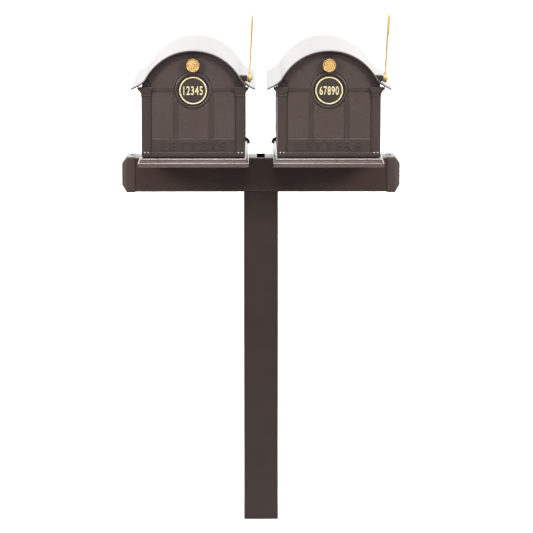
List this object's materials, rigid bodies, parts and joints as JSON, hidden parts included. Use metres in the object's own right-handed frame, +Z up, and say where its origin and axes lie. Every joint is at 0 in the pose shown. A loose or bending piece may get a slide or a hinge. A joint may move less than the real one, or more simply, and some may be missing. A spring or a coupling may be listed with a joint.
{
  "type": "twin post-mounted mailbox set",
  "caption": "Arched cast mailboxes side by side on a square beam and post, each with a drop-down front door, a pull knob and a swinging signal flag.",
  "frame": {"origin": "middle of the post's foot, at ground level", "axes": "+Z up along the post, +X along the beam towards the side that the flags are on, the doors face -Y"},
  "size_m": [0.8244, 0.53, 1.5421],
  "materials": {
    "bronze_tube": "dark bronze powder coat, semi-gloss",
    "bronze_cap": "dark bronze powder coat, semi-gloss",
    "bronze_casting": "dark bronze powder coat on a cast surface, semi-gloss",
    "bronze_door": "dark bronze powder coat on a finely pebbled casting",
    "black_plug": "satin black moulding",
    "zinc_steel": "zinc-plated steel",
    "floor_sheet": "plain sheet",
    "seal_rubber": "black foam rubber",
    "magnet_body": "black moulded magnet case",
    "gold_knob": "satin gold",
    "gold_flag": "satin gold paint on a casting",
    "number_plaque": "dark bronze field with pale gold rim and figures",
    "nylon_washer": "natural nylon"
  },
  "bodies": {
    "frame": {"post": "bronze_tube", "beam": "bronze_tube", "beam_cap_left": "bronze_cap", "beam_cap_right": "bronze_cap", "cap_screw_left": "bronze_cap", "cap_screw_right": "bronze_cap", "access_plug": "black_plug", "post_saddle": "zinc_steel", "saddle_bolt_front": "zinc_steel", "saddle_bolt_rear": "zinc_steel", "left_base": "bronze_casting", "left_floor_pan": "floor_sheet", "left_mounting_channel": "zinc_steel", "left_box_bolt_front": "zinc_steel", "left_box_bolt_rear": "zinc_steel", "left_wall_plain_side": "bronze_casting", "left_wall_flag_side": "bronze_casting", "left_roof": "bronze_casting", "left_back_panel": "bronze_casting", "left_back_seal": "seal_rubber", "left_back_screw_plain_side": "zinc_steel", "left_back_screw_flag_side": "zinc_steel", "left_hinge_pin_plain_side": "zinc_steel", "left_hinge_pin_flag_side": "zinc_steel", "left_magnet_catch": "magnet_body", "left_flag_bracket": "bronze_casting", "left_flag_washer": "nylon_washer", "left_flag_screw": "gold_flag", "right_base": "bronze_casting", "right_floor_pan": "floor_sheet", "right_mounting_channel": "zinc_steel", "right_box_bolt_front": "zinc_steel", "right_box_bolt_rear": "zinc_steel", "right_wall_plain_side": "bronze_casting", "right_wall_flag_side": "bronze_casting", "right_roof": "bronze_casting", "right_back_panel": "bronze_casting", "right_back_seal": "seal_rubber", "right_back_screw_plain_side": "zinc_steel", "right_back_screw_flag_side": "zinc_steel", "right_hinge_pin_plain_side": "zinc_steel", "right_hinge_pin_flag_side": "zinc_steel", "right_magnet_catch": "magnet_body", "right_flag_bracket": "bronze_casting", "right_flag_washer": "nylon_washer", "right_flag_screw": "gold_flag"},
    "left_door": {"left_door": "bronze_door", "left_door_knob": "gold_knob", "left_knob_nut": "zinc_steel", "left_number_plaque": "number_plaque", "left_strike_plate": "zinc_steel"},
    "left_flag": {"left_flag": "gold_flag"},
    "right_door": {"right_door": "bronze_door", "right_door_knob": "gold_knob", "right_knob_nut": "zinc_steel", "right_number_plaque": "number_plaque", "right_strike_plate": "zinc_steel"},
    "right_flag": {"right_flag": "gold_flag"}
  },
  "joints": [
    {"name": "left_door_hinge", "type": "hinge", "parent": "frame", "child": "left_door", "pos_m": [-0.1955, -0.239, 1.1382], "axis": [1, 0, 0], "range_deg": [0, 90]},
    {"name": "left_flag_pivot", "type": "hinge", "parent": "frame", "child": "left_flag", "pos_m": [-0.0335, -0.215, 1.3562], "axis": [0.9988, 0, -0.0489], "range_deg": [-90, 0]},
    {"name": "right_door_hinge", "type": "hinge", "parent": "frame", "child": "right_door", "pos_m": [0.1955, -0.239, 1.1382], "axis": [1, 0, 0], "range_deg": [0, 90]},
    {"name": "right_flag_pivot", "type": "hinge", "parent": "frame", "child": "right_flag", "pos_m": [0.3575, -0.215, 1.3562], "axis": [0.9988, 0, -0.0489], "range_deg": [-90, 0]}
  ]
}
